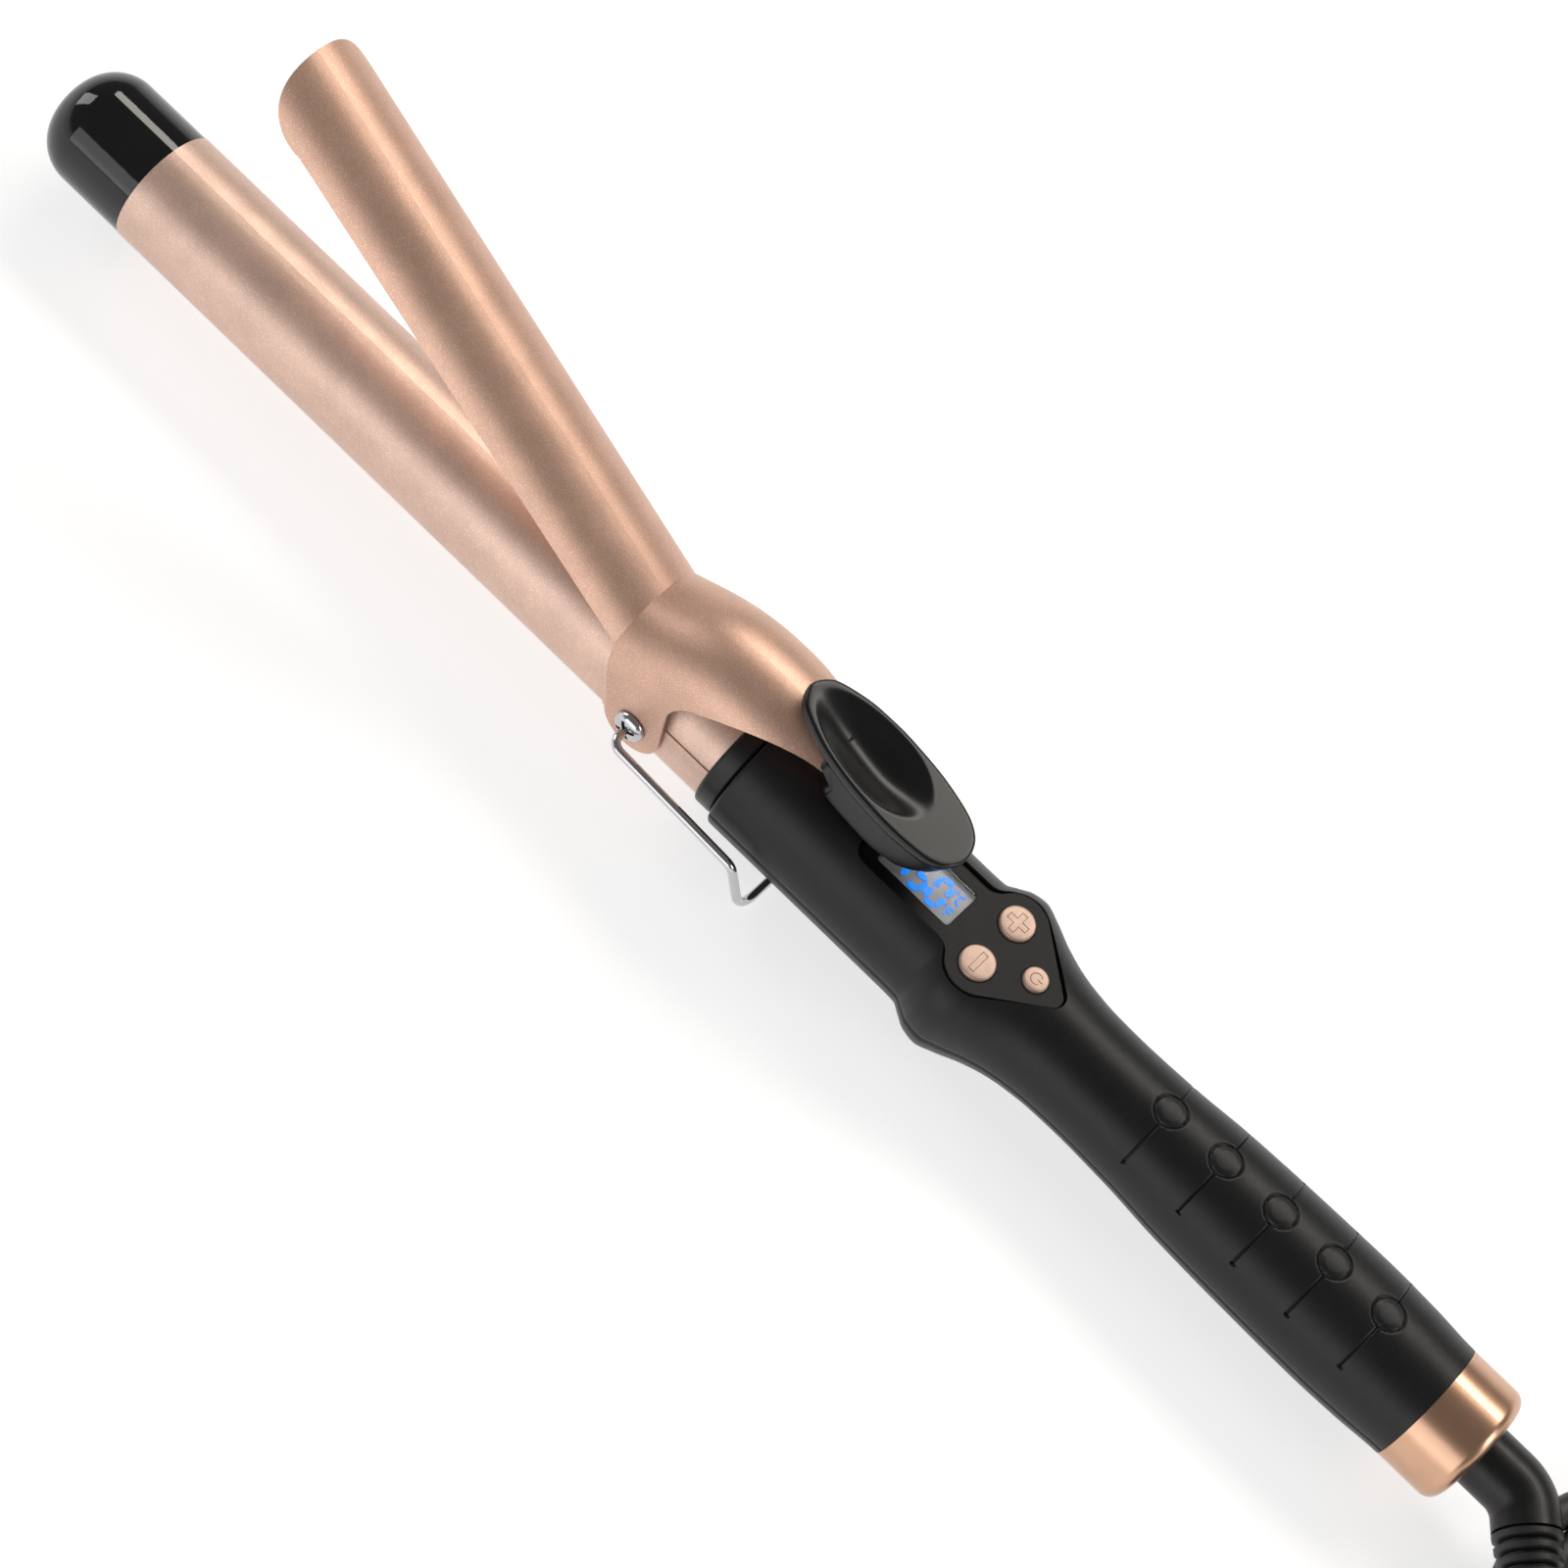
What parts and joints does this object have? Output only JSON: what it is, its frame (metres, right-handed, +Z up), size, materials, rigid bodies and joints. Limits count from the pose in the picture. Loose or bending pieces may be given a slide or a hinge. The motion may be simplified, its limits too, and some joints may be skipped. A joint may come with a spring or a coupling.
{
  "type": "curling iron",
  "caption": "Hair curling iron: a round heated barrel with a hinged half-round clip and thumb rest, wire stand, display and push buttons, and a swivel cord with its plug.",
  "frame": {"origin": "Under the middle of the iron, between the cool tip and the end ring, on the surface that the folded wire stand rests on.", "axes": "+X runs along the barrel from the cool tip to the handle's end and cord; +Z is up, the side of the clip, thumb rest and buttons; Y is the clip's and stand's hinge axis."},
  "size_m": [0.5367, 0.0791, 0.0924],
  "materials": {
    "rose_barrel": "satin rose-gold coating with a fine sparkle",
    "rose_clip": "satin rose-gold coating with a fine sparkle",
    "gloss_black": "polished black heat-proof plastic",
    "ceramic": "fired white ceramic",
    "aluminium": "extruded, unpainted",
    "sensor_glass": "glass-sealed amber bead",
    "wire_red": "silicone insulation",
    "wire_blue": "silicone insulation",
    "black_plastic": "satin moulded black plastic",
    "handle_black": "soft satin black plastic",
    "panel_black": "smooth charcoal plastic",
    "chrome": "polished chrome plate",
    "spring_steel": "bright spring steel",
    "screw_steel": "zinc-plated steel",
    "lcd_clear": "clear polished window",
    "lcd_grey": "grey liquid-crystal face with blue digits",
    "board_green": "solder-masked fibre board",
    "rose_button": "satin light rose-gold, engraved symbol",
    "switch_black": "moulded switch body",
    "copper_ring": "satin copper rose-gold",
    "white_nylon": "natural white nylon",
    "cord_rubber": "matt black flexible sheath",
    "tie_black": "black twist strap",
    "brass": "plain brass contact"
  },
  "bodies": {
    "iron": {"barrel_bush": "black_plastic", "barrel_insulator": "ceramic", "barrel_tube": "rose_barrel", "circuit_board": "board_green", "contact_block": "white_nylon", "control_panel": "panel_black", "display_spacer": "black_plastic", "end_ring": "copper_ring", "handle_lower_shell": "handle_black", "handle_screw_far": "screw_steel", "handle_screw_near": "screw_steel", "handle_screw_rear": "screw_steel", "handle_upper_shell": "handle_black", "heat_collar": "black_plastic", "heater_clamp_lower": "aluminium", "heater_clamp_upper": "aluminium", "heater_plate": "ceramic", "hinge_saddle": "rose_barrel", "hinge_screw_far": "chrome", "hinge_screw_near": "chrome", "lcd_module": "lcd_grey", "lcd_window": "lcd_clear", "lead_live": "wire_red", "lead_neutral": "wire_blue", "switch_minus": "switch_black", "switch_plus": "switch_black", "switch_power": "switch_black", "swivel_bush": "white_nylon", "temperature_sensor": "sensor_glass", "tip_cap": "gloss_black"},
    "clip": {"clip_plate": "rose_clip", "thumb_pad": "black_plastic", "thumb_base": "black_plastic", "thumb_screw_front": "screw_steel", "thumb_screw_rear": "screw_steel", "clip_spring": "spring_steel"},
    "stand": {"wire_stand": "chrome"},
    "plus": {"button_plus": "rose_button"},
    "minus": {"button_minus": "rose_button"},
    "power": {"button_power": "rose_button"},
    "swivel": {"swivel_elbow": "black_plastic", "strain_relief": "cord_rubber", "cord_tube": "cord_rubber", "cord_hank": "cord_rubber", "cord_tie": "tie_black", "cord_tail": "cord_rubber", "plug_body": "cord_rubber", "plug_blade_near": "brass", "plug_blade_far": "brass"}
  },
  "joints": [
    {"name": "clip_hinge", "type": "hinge", "parent": "iron", "child": "clip", "pos_m": [-0.0207, 0, 0.01845], "axis": [0, 1, 0], "range_deg": [-26.4, 4], "stiffness_Nm_per_rad": 0.5, "springref_deg": -34.38, "deforming": ["clip_spring"]},
    {"name": "stand_hinge", "type": "hinge", "parent": "iron", "child": "stand", "pos_m": [-0.0207, 0, 0.01845], "axis": [0, 1, 0], "range_deg": [0, 105]},
    {"name": "plus_press", "type": "slide", "parent": "iron", "child": "plus", "axis": [0, 0, -1], "range_m": [0, 0.0006], "stiffness_N_per_m": 400, "springref_m": -0.0004},
    {"name": "minus_press", "type": "slide", "parent": "iron", "child": "minus", "axis": [0, 0, -1], "range_m": [0, 0.0006], "stiffness_N_per_m": 400, "springref_m": -0.0004},
    {"name": "power_press", "type": "slide", "parent": "iron", "child": "power", "axis": [0, 0, -1], "range_m": [0, 0.0006], "stiffness_N_per_m": 400, "springref_m": -0.0004},
    {"name": "cord_swivel", "type": "hinge", "parent": "iron", "child": "swivel", "pos_m": [0.1925, 0, 0.01845], "axis": [1, 0, 0], "continuous": true}
  ]
}
